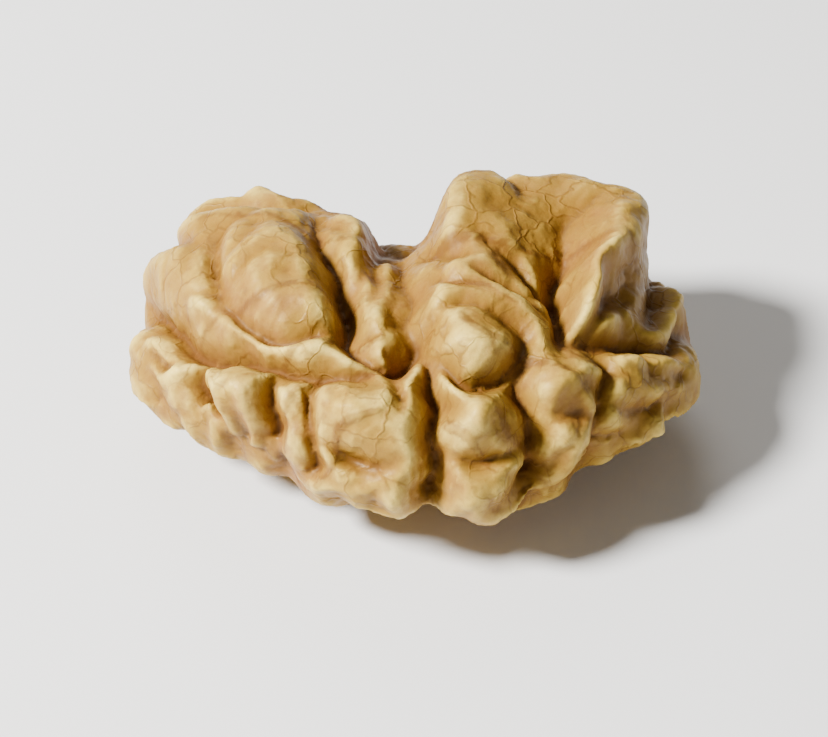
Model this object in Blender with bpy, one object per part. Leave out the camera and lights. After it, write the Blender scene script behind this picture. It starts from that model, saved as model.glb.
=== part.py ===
"""A shelled walnut kernel half, lying on its inner side.

The kernel is modelled in millimetres and scaled to metres at the end. +X runs across the two
wings, +Y points at the notch of the stem end, +Z points up out of the rounded outer side. The
origin is on the surface that the kernel lies on, under the middle of its box.

The form starts as a plain smooth hull. Creases are pressed into it along lines that part the
folds, broad swells and hollows are added, and noise makes the wrinkles.
"""

import math
import random

import bmesh
import bpy
import numpy as np
from mathutils import Vector, noise

MM = 0.001

# The plain hull: half its length each way, its heights under and over the margin, and the power
# that makes it a little squarer than an ellipsoid.
HALF_WIDTH = 15.4
HALF_LENGTH = 11.9
UNDER_MARGIN = 4.0
OVER_MARGIN = 8.0
HULL_POWER = 2.2

# How far a fold's round side reaches from its crease for each unit of the crease's width, how
# wide a crease's bottom is, how much deeper than listed the creases go, and how sharply creases
# join where they meet.
ROUNDING = 3.0
BOTTOM = 0.22
DEEPENING = 1.9
JOINING_POWER = 5
STEPS_BETWEEN_POINTS = 5

# The shell keeps the folds from standing out further than this.
PRESSED_TO = 0.8
PRESS_SOFTNESS = 0.3

# Noise, each as the size of its waves, their height and a seed.
BEND = (6.5, 0.9, 1)
RIPPLE = (2.3, 0.5, 5)
WRINKLE_BEND = (3.0, 0.9, 11)
WRINKLE = (2.8, 0.7, 21)
WRINKLE_MIDDLE = 0.25
SWELL = (7.0, 0.35, 31)

# The mesh: the first one's subdivisions, then the voxels that make it one clean body.
SUBDIVISIONS = 7
VOXEL = 0.24
MOST_TRIANGLES = 11400

# The lowest folds are worn flat by this much, which makes the spots that the kernel rests on.
REST_CUT = 0.45

# The walnut's skin: colour, roughness and metallic value.
SKIN = ((0.52, 0.30, 0.12, 1), 0.5, 0.0)

OUTER = 1
INNER = -1

# Each crease is its width and the points of its line: x, y, depth and side.
CREASES = {
    "strap left": (0.8, [(-5.0, 8.0, 0.2, OUTER), (-5.3, 5.0, 1.0, OUTER), (-5.1, 1.9, 1.8, OUTER),
                         (-4.2, 0.2, 2.1, OUTER), (-3.4, -1.4, 2.0, OUTER), (-2.9, -4.0, 1.7, OUTER),
                         (-2.6, -5.6, 1.4, OUTER)]),
    "strap line": (0.7, [(-2.4, 6.4, 0.2, OUTER), (-1.9, 2.0, 0.4, OUTER), (-1.7, -3.0, 0.3, OUTER)]),
    "strap end": (0.8, [(-2.8, -5.2, 1.3, OUTER), (-2.1, -6.2, 2.0, OUTER), (-1.3, -6.6, 2.7, OUTER),
                        (-0.5, -5.6, 2.2, OUTER), (0.3, -4.0, 1.5, OUTER)]),
    "seam": (0.8, [(0.3, 8.8, 0.3, OUTER), (0.1, 4.0, 0.5, OUTER), (-0.1, 0.0, 0.8, OUTER),
                   (0.2, -2.8, 1.2, OUTER), (0.5, -5.2, 1.6, OUTER), (0.8, -7.2, 2.0, OUTER),
                   (1.2, -8.8, 2.2, OUTER), (1.3, -10.2, 2.2, OUTER), (0.9, -11.7, 2.2, OUTER),
                   (0.7, -9.4, 1.9, INNER), (0.2, -6.0, 1.4, INNER)]),
    "left cross": (1.0, [(-12.8, 3.6, 1.4, INNER), (-14.8, 2.6, 1.9, OUTER), (-12.4, -1.8, 2.4, OUTER),
                         (-10.3, -3.8, 2.7, OUTER), (-8.8, -4.8, 2.6, OUTER), (-6.5, -6.2, 2.3, OUTER),
                         (-4.2, -7.1, 1.8, OUTER), (-2.4, -7.0, 1.6, OUTER)]),
    "left rim": (0.7, [(-11.0, 7.2, 0.6, OUTER), (-9.2, 7.6, 1.2, OUTER), (-7.7, 7.4, 1.4, OUTER),
                       (-6.3, 7.2, 1.1, OUTER), (-5.6, 8.2, 0.6, OUTER)]),
    "left crown low": (0.8, [(-10.2, -1.5, 0.9, OUTER), (-8.5, -3.1, 1.6, OUTER),
                             (-7.0, -4.2, 1.8, OUTER), (-5.0, -4.8, 1.5, OUTER), (-3.7, -3.8, 0.9, OUTER)]),
    "left crown side": (0.8, [(-9.8, 4.6, 0.3, OUTER), (-10.4, 2.2, 0.9, OUTER),
                              (-10.5, 0.2, 1.0, OUTER), (-10.0, -1.4, 0.8, OUTER)]),
    "left end": (0.9, [(-9.8, -6.8, 0.9, INNER), (-12.2, -7.0, 1.8, OUTER), (-12.1, -6.2, 2.2, OUTER),
                       (-11.8, -5.2, 2.3, OUTER), (-11.2, -4.0, 1.9, OUTER)]),
    "left end line": (0.6, [(-14.6, -1.3, 0.5, OUTER), (-13.5, -2.6, 1.1, OUTER),
                            (-12.6, -2.4, 0.5, OUTER)]),
    "left finger": (0.8, [(-6.8, -8.4, 1.2, INNER), (-8.6, -9.8, 1.7, OUTER), (-8.0, -8.8, 1.9, OUTER),
                          (-7.6, -7.8, 1.8, OUTER), (-6.9, -6.6, 1.4, OUTER)]),
    "left finger line": (0.6, [(-10.6, -8.5, 0.8, OUTER), (-9.6, -8.1, 1.2, OUTER),
                               (-9.1, -6.8, 0.4, OUTER)]),
    "left bud": (0.9, [(-5.4, -10.9, 1.5, OUTER), (-5.5, -9.9, 1.7, OUTER), (-5.1, -8.6, 1.8, OUTER),
                       (-4.3, -7.4, 1.6, OUTER)]),
    "left thumb cross": (0.9, [(-5.6, -9.6, 0.7, OUTER), (-3.8, -10.6, 1.3, OUTER),
                               (-1.8, -11.0, 0.9, OUTER), (0.4, -10.6, 0.4, OUTER)]),
    "left thumb top": (0.6, [(-4.2, -6.8, 0.9, OUTER), (-3.8, -8.0, 1.1, OUTER), (-3.9, -9.0, 0.4, OUTER)]),
    "left thumb turn": (0.6, [(-1.3, -6.8, 1.4, OUTER), (-0.8, -7.9, 1.2, OUTER), (-0.7, -9.0, 0.4, OUTER)]),
    "left far": (0.9, [(-8.6, 8.4, 0.4, OUTER), (-8.2, 10.2, 1.6, OUTER), (-7.6, 10.6, 1.9, INNER),
                       (-6.8, 8.0, 1.4, INNER)]),
    "left far corner": (0.8, [(-11.8, 5.0, 0.6, OUTER), (-12.4, 7.2, 1.7, OUTER), (-10.6, 5.8, 1.4, INNER)]),
    "left far step": (0.7, [(-6.4, 9.0, 0.3, OUTER), (-6.0, 10.4, 0.9, OUTER), (-5.4, 10.8, 1.0, INNER)]),
    "hook hollow": (1.5, [(8.0, 5.4, 0.5, OUTER), (8.3, 3.2, 1.3, OUTER), (8.2, 0.8, 2.1, OUTER),
                          (7.9, -1.3, 2.7, OUTER), (7.7, -3.2, 2.5, OUTER)]),
    "hook outer": (0.9, [(11.8, 5.6, 0.3, OUTER), (11.3, 2.8, 0.8, OUTER), (10.9, 0.3, 1.3, OUTER),
                         (10.3, -1.6, 1.6, OUTER), (9.6, -3.3, 1.6, OUTER)]),
    "hook step": (0.7, [(4.6, 10.2, 1.0, OUTER), (4.8, 8.2, 0.9, OUTER), (5.4, 6.2, 0.3, OUTER)]),
    "slope line": (0.7, [(4.0, 1.8, 0.4, OUTER), (5.6, 0.8, 1.2, OUTER), (7.0, -0.6, 1.6, OUTER),
                         (7.8, -2.4, 1.4, OUTER)]),
    "slope step": (0.6, [(3.4, -0.2, 0.4, OUTER), (5.0, -1.2, 1.2, OUTER), (6.6, -2.4, 1.4, OUTER),
                         (7.4, -3.4, 1.2, OUTER)]),
    "slope spot": (0.6, [(1.2, 2.4, 0.5, OUTER), (2.1, 1.5, 1.2, OUTER), (3.2, 1.2, 0.4, OUTER)]),
    "slope level": (0.5, [(0.8, 0.6, 0.3, OUTER), (2.1, -1.0, 0.9, OUTER), (3.6, -1.3, 0.5, OUTER)]),
    "right cross": (1.0, [(7.2, -3.7, 1.5, OUTER), (9.2, -3.8, 2.0, OUTER), (11.6, -3.0, 1.9, OUTER),
                          (13.4, -1.4, 1.8, OUTER), (14.9, 1.4, 1.6, OUTER), (12.9, 2.6, 1.4, INNER)]),
    "right side": (0.9, [(13.3, 5.4, 1.1, OUTER), (13.3, 3.2, 1.1, OUTER), (13.0, 0.6, 1.0, OUTER),
                         (12.5, -1.6, 0.7, OUTER)]),
    "right upper": (0.7, [(12.9, 3.4, 0.5, OUTER), (12.0, 2.4, 0.6, OUTER), (11.2, 1.4, 0.3, OUTER)]),
    "centre bump": (0.8, [(0.8, -5.4, 1.1, OUTER), (1.6, -6.4, 1.6, OUTER), (2.9, -7.0, 1.9, OUTER),
                          (4.4, -6.6, 1.9, OUTER), (5.0, -5.3, 1.7, OUTER), (4.8, -3.9, 1.3, OUTER),
                          (3.8, -3.0, 0.9, OUTER), (2.5, -2.8, 0.7, OUTER), (1.0, -3.0, 0.5, OUTER)]),
    "right thumb": (0.9, [(5.4, -5.6, 1.6, OUTER), (5.3, -7.6, 2.1, OUTER), (5.9, -9.4, 2.4, OUTER),
                          (6.2, -10.9, 2.6, OUTER), (5.2, -8.8, 1.6, INNER)]),
    "right thumb cross": (0.9, [(1.0, -10.0, 0.8, OUTER), (3.0, -10.6, 1.0, OUTER),
                                (4.6, -10.4, 1.0, OUTER), (6.2, -9.8, 0.9, OUTER)]),
    "right finger": (0.9, [(9.2, -4.0, 1.3, OUTER), (10.3, -4.8, 1.4, OUTER), (9.8, -6.4, 1.4, OUTER),
                           (10.0, -7.9, 1.4, OUTER), (10.6, -8.7, 1.3, OUTER), (8.8, -7.4, 1.1, INNER)]),
    "right finger cross": (0.9, [(5.4, -7.8, 0.8, OUTER), (7.4, -8.4, 0.8, OUTER),
                                 (9.6, -7.6, 0.8, OUTER)]),
    "right end far": (0.8, [(14.5, -2.0, 0.5, OUTER), (13.2, -3.6, 0.6, OUTER), (11.3, -5.1, 0.5, OUTER)]),
    "right end near": (0.8, [(13.9, -4.9, 0.6, OUTER), (12.4, -6.1, 0.6, OUTER), (10.4, -6.6, 0.5, OUTER)]),
    "right far": (0.8, [(6.6, 9.2, 0.3, OUTER), (6.8, 10.5, 1.3, OUTER), (6.4, 9.0, 1.7, INNER)]),
    "right far turn": (0.9, [(9.6, 7.8, 0.3, OUTER), (10.4, 8.6, 1.4, OUTER), (9.4, 7.2, 1.8, INNER)]),
    "right far corner": (0.7, [(11.6, 5.8, 0.5, OUTER), (12.8, 6.4, 1.4, OUTER), (11.4, 5.4, 1.4, INNER)]),
    "inner left": (1.3, [(-4.6, 7.6, 1.4, INNER), (-8.2, 6.0, 2.2, INNER), (-10.2, 2.2, 2.0, INNER),
                         (-9.6, -2.4, 2.2, INNER), (-6.8, -5.4, 1.8, INNER), (-4.0, -6.0, 1.2, INNER)]),
    "inner left fork": (0.8, [(-9.8, 0.2, 1.6, INNER), (-7.4, 1.0, 1.4, INNER), (-5.0, 0.2, 0.8, INNER)]),
    "inner right": (1.3, [(3.4, 7.0, 1.2, INNER), (7.2, 6.6, 2.0, INNER), (10.0, 3.4, 2.2, INNER),
                          (10.2, -1.2, 2.2, INNER), (8.0, -5.0, 2.0, INNER), (4.6, -6.2, 1.4, INNER)]),
    "inner right fork": (0.8, [(9.8, 1.6, 1.6, INNER), (7.0, 0.4, 1.5, INNER), (5.0, 1.6, 0.8, INNER)]),
}

# Short creases over the rim of the inner side: how many, their width, the least and most depth,
# the sideways lean in radians, how far out their three points are and their share of the depth.
RIM_CREASES = 19
RIM_WIDTH = 0.7
RIM_DEPTHS = (0.7, 1.7)
RIM_LEAN = 0.12
RIM_POINTS = ((0.99, 0.2, OUTER), (0.93, 1.0, INNER), (0.78, 0.4, INNER))
RIM_SEED = 5

# The knobs and crests of the folds. Each is its width, how steep its sides are, and its line:
# x, y, height and side. The shell presses these.
KNOBS = {
    "left crown": (2.6, 2, [(-8.8, 2.0, 0.5, OUTER), (-7.0, 1.8, 0.5, OUTER)]),
    "left finger": (1.5, 2, [(-9.4, -6.8, 0.5, OUTER), (-8.4, -6.2, 0.5, OUTER)]),
    "left bud": (1.0, 2, [(-6.9, -8.6, -0.8, OUTER), (-6.4, -7.4, -0.5, OUTER)]),
    "left thumb": (1.7, 2, [(-3.2, -8.8, 0.5, OUTER), (-2.0, -8.6, 0.5, OUTER)]),
    "hook": (1.5, 2, [(1.9, 4.6, 0.4, OUTER), (3.7, 6.5, 0.9, OUTER), (5.6, 8.2, 0.9, OUTER),
                      (8.0, 8.2, 1.0, OUTER), (10.2, 6.0, 1.0, OUTER), (10.1, 2.0, 1.0, OUTER),
                      (9.3, -1.6, 1.1, OUTER), (8.6, -3.3, 0.5, OUTER)]),
    "right slope": (2.2, 2, [(5.6, 3.6, -0.3, OUTER), (6.6, 0.8, -0.8, OUTER)]),
    "centre bump": (1.3, 2, [(2.4, -5.3, 0.3, OUTER), (3.6, -5.1, 0.3, OUTER)]),
    "right thumb": (1.2, 2, [(2.7, -9.2, 0.5, OUTER), (3.4, -9.0, 0.5, OUTER)]),
}

# The broad swells and hollows that shape the whole kernel, given as the knobs are.
SWELLS = {
    "strap": (2.4, 6, [(0.0, 12.0, -2.3, OUTER), (0.0, 8.0, -2.1, OUTER), (-0.3, 4.0, -1.8, OUTER),
                       (-1.0, 0.0, -1.1, OUTER), (-1.4, -3.6, -0.7, OUTER)]),
    "strap side": (3.2, 3, [(-1.5, 12.0, -1.6, OUTER), (-1.5, 8.0, -1.4, OUTER), (-1.7, 3.0, -0.9, OUTER),
                            (-1.8, -3.6, -0.5, OUTER)]),
    "stem notch": (2.8, 3, [(-1.3, 11.8, -4.0, INNER), (-1.3, 8.8, -2.2, INNER), (-1.3, 6.0, -1.0, INNER)]),
    "far left": (2.8, 2, [(-12.4, 5.4, 0.8, OUTER), (-10.4, 7.6, 1.8, OUTER), (-8.4, 9.2, 1.5, OUTER)]),
    "far left inside": (1.6, 2, [(-4.8, 9.8, -0.7, OUTER), (-4.8, 8.0, -0.3, OUTER)]),
    "far right": (3.0, 2, [(6.6, 9.6, 0.7, OUTER), (9.4, 8.2, 1.4, OUTER), (11.8, 5.6, 0.6, OUTER)]),
    "far right inside": (1.5, 2, [(3.8, 9.4, 0.3, OUTER), (3.4, 6.4, 0.2, OUTER)]),
    "hook crest": (0.9, 2, [(9.4, 8.2, 0.1, OUTER), (10.7, 6.0, 0.8, OUTER), (10.4, 2.4, 0.9, OUTER),
                            (9.5, -0.8, 0.8, OUTER), (8.7, -2.8, 0.3, OUTER)]),
    "hook flank": (1.7, 2, [(12.8, 5.4, -0.6, OUTER), (12.6, 2.6, -0.9, OUTER), (11.6, -0.4, -0.7, OUTER)]),
    "near left": (4.2, 2, [(-14.4, -4.2, -1.9, OUTER), (-11.4, -8.4, -2.8, OUTER),
                           (-8.0, -11.0, -2.4, OUTER), (-5.2, -12.0, -1.2, OUTER)]),
    "near left under": (2.8, 2, [(-13.4, -5.4, -1.6, INNER), (-10.6, -8.4, -2.4, INNER),
                                 (-7.2, -10.4, -2.2, INNER), (-4.4, -11.2, -1.0, INNER)]),
    "near right": (3.4, 2, [(5.6, -11.8, -0.4, OUTER), (8.2, -10.6, -1.6, OUTER),
                            (11.4, -8.2, -2.2, OUTER), (14.2, -4.2, -1.2, OUTER)]),
    "near right under": (2.6, 2, [(6.6, -10.6, -1.0, INNER), (10.4, -8.0, -2.2, INNER),
                                  (13.4, -4.4, -1.2, INNER)]),
    "inner middle": (3.0, 2, [(-1.2, 12.0, -2.0, INNER), (-0.8, 4.0, -1.9, INNER),
                              (0.2, -4.0, -1.9, INNER), (0.6, -11.0, -1.2, INNER)]),
    "foot left": (2.4, 2, [(-7.0, 1.6, 1.0, INNER), (-6.0, 1.2, 1.0, INNER)]),
    "foot right far": (2.2, 2, [(6.4, 4.0, 1.1, INNER), (6.0, 3.8, 1.1, INNER)]),
    "foot right near": (2.4, 2, [(5.6, -3.8, 1.4, INNER), (5.2, -3.6, 1.4, INNER)]),
}


def clear_scene():
    for obj in list(bpy.data.objects):
        bpy.data.objects.remove(obj, do_unlink=True)


def rim_creases():
    """Short creases over the rim of the inner side, at uneven places round it."""
    draw = random.Random(RIM_SEED)
    made = []
    for k in range(RIM_CREASES):
        turn = 2 * math.pi * (k + draw.uniform(-0.3, 0.3)) / RIM_CREASES
        lean = draw.uniform(-RIM_LEAN, RIM_LEAN)
        depth = draw.uniform(*RIM_DEPTHS)
        line = []
        for place, (reach, share, side) in enumerate(RIM_POINTS):
            x = reach * HALF_WIDTH * math.cos(turn + place * lean)
            y = reach * HALF_LENGTH * math.sin(turn + place * lean)
            line.append((x, y, share * depth, side))
        made.append((RIM_WIDTH, line))
    return made


def half_sizes(directions):
    heights = np.where(directions[:, 2] > 0, OVER_MARGIN, UNDER_MARGIN)
    return np.stack([np.full(len(heights), HALF_WIDTH), np.full(len(heights), HALF_LENGTH), heights], axis=1)


def hull(directions):
    """Points and outward normals of the plain hull, where directions from its middle meet it.

    A direction is given in units of the hull's half sizes.
    """
    stretch = (np.abs(directions) ** HULL_POWER).sum(axis=1) ** (-1 / HULL_POWER)
    unit = directions * stretch[:, None]
    halves = half_sizes(directions)
    normals = np.sign(unit) * np.abs(unit) ** (HULL_POWER - 1) / halves
    normals /= np.linalg.norm(normals, axis=1)[:, None]
    return unit * halves + (0, 0, UNDER_MARGIN), normals


def on_hull(x, y, side):
    """The point of the plain hull over or under a place in plan."""
    reach = (abs(x / HALF_WIDTH) ** HULL_POWER + abs(y / HALF_LENGTH) ** HULL_POWER) ** (1 / HULL_POWER)
    if reach > 1.0:
        x /= reach
        y /= reach
    height = OVER_MARGIN if side == OUTER else UNDER_MARGIN
    rise = max(0.0, 1.0 - reach**HULL_POWER) ** (1 / HULL_POWER)
    return x, y, UNDER_MARGIN + side * height * rise


def smooth_line(points):
    """A Catmull-Rom line through the points, as rows of x, y, z and amount."""
    spots = np.array([(*on_hull(x, y, side), amount) for x, y, amount, side in points])
    spots = np.vstack([spots[:1], spots, spots[-1:]])
    rows = []
    for p0, p1, p2, p3 in zip(spots, spots[1:], spots[2:], spots[3:]):
        for t in np.arange(STEPS_BETWEEN_POINTS) / STEPS_BETWEEN_POINTS:
            quadratic = (2 * p0 - 5 * p1 + 4 * p2 - p3) * t**2
            cubic = (3 * p1 - p0 - 3 * p2 + p3) * t**3
            rows.append(p1 + ((p2 - p0) * t + quadratic + cubic) / 2)
    rows.append(spots[-1])
    return np.array(rows)


def nearest_on(line, points):
    """Each point's distance to a line, and the line's amount at the nearest place."""
    best = np.full(len(points), np.inf)
    amount = np.zeros(len(points))
    for start, end in zip(line, line[1:]):
        run = end[:3] - start[:3]
        share = np.clip((points - start[:3]) @ run / (run @ run), 0, 1)
        distance = np.linalg.norm(points - start[:3] - share[:, None] * run, axis=1)
        closer = distance < best
        best[closer] = distance[closer]
        amount[closer] = (start[3] + share * (end[3] - start[3]))[closer]
    return best, amount


def noise_at(points, size, seed):
    offset = Vector((seed * 17.3, seed * 5.1, seed * 9.7))
    return np.array([noise.noise(Vector(p) / size + offset) for p in points])


def bent(points, size, height, seed):
    """The points, moved about by noise."""
    return points + height * np.stack([noise_at(points, size, seed + k) for k in range(3)], axis=1)


def moved_along(points):
    """The hull's points moved along it by noise, which makes the creases wander."""
    moved = bent(bent(points, *BEND), *RIPPLE) - (0, 0, UNDER_MARGIN)
    return hull(moved / half_sizes(moved))[0]


def crease_depth(points):
    """How deep the creases go at each point: steep by the line, round up to the fold's top."""
    joined = np.zeros(len(points))
    for width, line in list(CREASES.values()) + rim_creases():
        distance, depth = nearest_on(smooth_line(line), points)
        inward = 1 - np.clip(np.hypot(distance, BOTTOM) / (ROUNDING * width), 0, 1)
        joined += (depth * (1 - np.sqrt(1 - inward**2))) ** JOINING_POWER
    return DEEPENING * joined ** (1 / JOINING_POWER)


def swelling(points, swells):
    """How much the swells of a table add at each point."""
    total = np.zeros(len(points))
    for width, power, line in swells.values():
        distance, rise = nearest_on(smooth_line(line), points)
        total += rise * np.exp(-((distance / width) ** power))
    return total


def wrinkling(points):
    """Round wrinkles with sharp valleys, on slow swells."""
    size, height, seed = WRINKLE
    wrinkles = np.abs(noise_at(bent(points, *WRINKLE_BEND), size, seed)) - WRINKLE_MIDDLE
    slow_size, slow_height, slow_seed = SWELL
    return height * wrinkles + slow_height * noise_at(points, slow_size, slow_seed)


def relief(points):
    """How far the kernel stands out from its hull at each point."""
    seen = moved_along(points)
    folds = swelling(seen, KNOBS) - crease_depth(seen) + wrinkling(points)
    folds -= PRESS_SOFTNESS * np.logaddexp(0, (folds - PRESSED_TO) / PRESS_SOFTNESS)
    return swelling(seen, SWELLS) + folds


def folded_hull():
    """The hull's mesh with the relief on it."""
    bm = bmesh.new()
    bmesh.ops.create_icosphere(bm, subdivisions=SUBDIVISIONS, radius=1.0)
    mesh = bpy.data.meshes.new("kernel")
    bm.to_mesh(mesh)
    bm.free()
    flat = np.empty(len(mesh.vertices) * 3)
    mesh.vertices.foreach_get("co", flat)
    points, normals = hull(flat.reshape(-1, 3))
    points += normals * relief(points)[:, None]
    mesh.vertices.foreach_set("co", points.ravel())
    return mesh


def apply_modifier(obj, kind, **settings):
    """Replaces the object's mesh by the result of one modifier."""
    modifier = obj.modifiers.new(kind, kind)
    for name, value in settings.items():
        setattr(modifier, name, value)
    graph = bpy.context.evaluated_depsgraph_get()
    mesh = bpy.data.meshes.new_from_object(obj.evaluated_get(graph))
    obj.modifiers.clear()
    obj.data = mesh


def connected(vert):
    """All the vertices that edges join to this one."""
    found = {vert}
    waiting = [vert]
    while waiting:
        for edge in waiting.pop().link_edges:
            for other in edge.verts:
                if other not in found:
                    found.add(other)
                    waiting.append(other)
    return found


def keep_outer_body(bm):
    """Drops the small bubbles that folds close off where they meet inside the kernel."""
    outermost = max(bm.verts, key=lambda v: v.co.x)
    kept = connected(outermost)
    bubbles = [v for v in bm.verts if v not in kept]
    bmesh.ops.delete(bm, geom=bubbles, context="VERTS")


def cut_level(bm, height):
    """Cuts the mesh off level at a height and closes it."""
    every = bm.verts[:] + bm.edges[:] + bm.faces[:]
    up = (0, 0, 1)
    bmesh.ops.bisect_plane(bm, geom=every, dist=1e-5, plane_co=(0, 0, height), plane_no=up, clear_inner=True)
    rims = [edge for edge in bm.edges if edge.is_boundary]
    bmesh.ops.holes_fill(bm, edges=rims)
    bmesh.ops.triangulate(bm, faces=bm.faces[:])
    bmesh.ops.recalc_face_normals(bm, faces=bm.faces[:])


def stand_on_origin(bm):
    """Moves the mesh so that the origin is under the middle of its box, and scales it to metres."""
    low = Vector([min(v.co[k] for v in bm.verts) for k in range(3)])
    high = Vector([max(v.co[k] for v in bm.verts) for k in range(3)])
    foot = Vector(((low.x + high.x) / 2, (low.y + high.y) / 2, low.z))
    for v in bm.verts:
        v.co = (v.co - foot) * MM


def skin():
    material = bpy.data.materials.new("kernel_skin")
    material.use_nodes = True
    finish = material.node_tree.nodes["Principled BSDF"]
    names = ("Base Color", "Roughness", "Metallic")
    for name, value in zip(names, SKIN):
        finish.inputs[name].default_value = value
    return material


def main():
    clear_scene()
    kernel = bpy.data.objects.new("kernel", folded_hull())
    bpy.context.scene.collection.objects.link(kernel)
    apply_modifier(kernel, "REMESH", mode="VOXEL", voxel_size=VOXEL)
    apply_modifier(kernel, "TRIANGULATE")
    apply_modifier(kernel, "DECIMATE", ratio=MOST_TRIANGLES / len(kernel.data.polygons))
    bm = bmesh.new()
    bm.from_mesh(kernel.data)
    keep_outer_body(bm)
    cut_level(bm, min(v.co.z for v in bm.verts) + REST_CUT)
    stand_on_origin(bm)
    bm.to_mesh(kernel.data)
    bm.free()
    kernel.data.shade_smooth()
    kernel.data.materials.append(skin())


main()
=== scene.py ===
"""The looks of a shelled walnut kernel half: its fine folds, its skin, the light and the camera.

The kernel is raised from the same plain hull, creases and swells as the plain solid, on a finer
mesh, and gets the small wrinkles and the skin on top. Its shape is worked out in millimetres and
scaled to metres at the end. +X runs across the two wings, +Y points at the notch, +Z is up.
"""

import math
import random

import bmesh
import bpy
import numpy as np
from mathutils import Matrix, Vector, noise
from mathutils.kdtree import KDTree


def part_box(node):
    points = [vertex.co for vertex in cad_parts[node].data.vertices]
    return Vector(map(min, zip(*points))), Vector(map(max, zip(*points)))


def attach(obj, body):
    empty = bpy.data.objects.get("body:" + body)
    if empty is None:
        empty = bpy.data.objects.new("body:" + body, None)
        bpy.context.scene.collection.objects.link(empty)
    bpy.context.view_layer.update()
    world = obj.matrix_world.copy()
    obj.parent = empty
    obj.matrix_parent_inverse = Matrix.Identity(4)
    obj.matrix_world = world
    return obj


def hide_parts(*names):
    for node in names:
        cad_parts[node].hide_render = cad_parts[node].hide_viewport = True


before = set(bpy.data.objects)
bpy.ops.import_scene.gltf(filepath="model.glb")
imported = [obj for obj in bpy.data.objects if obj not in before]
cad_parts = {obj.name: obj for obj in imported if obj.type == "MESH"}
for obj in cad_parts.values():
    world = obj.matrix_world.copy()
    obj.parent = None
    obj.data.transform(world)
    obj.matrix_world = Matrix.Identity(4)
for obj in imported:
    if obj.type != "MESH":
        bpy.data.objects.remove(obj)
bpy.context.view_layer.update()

MM = 0.001

# The plain hull: half its length each way, its heights under and over the margin, and the power
# that makes it a little squarer than an ellipsoid.
HALF_WIDTH = 15.4
HALF_LENGTH = 11.9
UNDER_MARGIN = 4.0
OVER_MARGIN = 8.0
HULL_POWER = 2.2

# How far a fold's round side reaches from its crease for each unit of the crease's width, how
# wide a crease's bottom is, how much deeper than listed the creases go, and how sharply creases
# join where they meet.
ROUNDING = 3.0
BOTTOM = 0.22
DEEPENING = 1.9
JOINING_POWER = 5
STEPS_BETWEEN_POINTS = 5

# The shell keeps the folds from standing out further than this.
PRESSED_TO = 0.8
PRESS_SOFTNESS = 0.3

# Noise, each as the size of its waves, their height and a seed.
BEND = (6.5, 0.9, 1)
RIPPLE = (2.3, 0.5, 5)
WRINKLE_BEND = (3.0, 0.9, 11)
WRINKLE = (2.8, 0.7, 21)
WRINKLE_MIDDLE = 0.25
SWELL = (7.0, 0.35, 31)

# The skin's own wrinkles, finer than the solid has. They are stretched along the creases.
FINE_BEND = (1.6, 0.5, 61)
FINE_WRINKLES = ((1.5, 0.08, 41), (0.75, 0.08, 43), (0.4, 0.05, 47))
FINE_ALONG_CREASES = 0.9

# The mesh: the first one's subdivisions, the voxels that make it one clean body, and how near a
# vertex has to be to lie on the plane that cuts it level.
SUBDIVISIONS = 8
VOXEL = 0.165
ON_PLANE = 1e-5

OUTER = 1
INNER = -1

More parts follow.
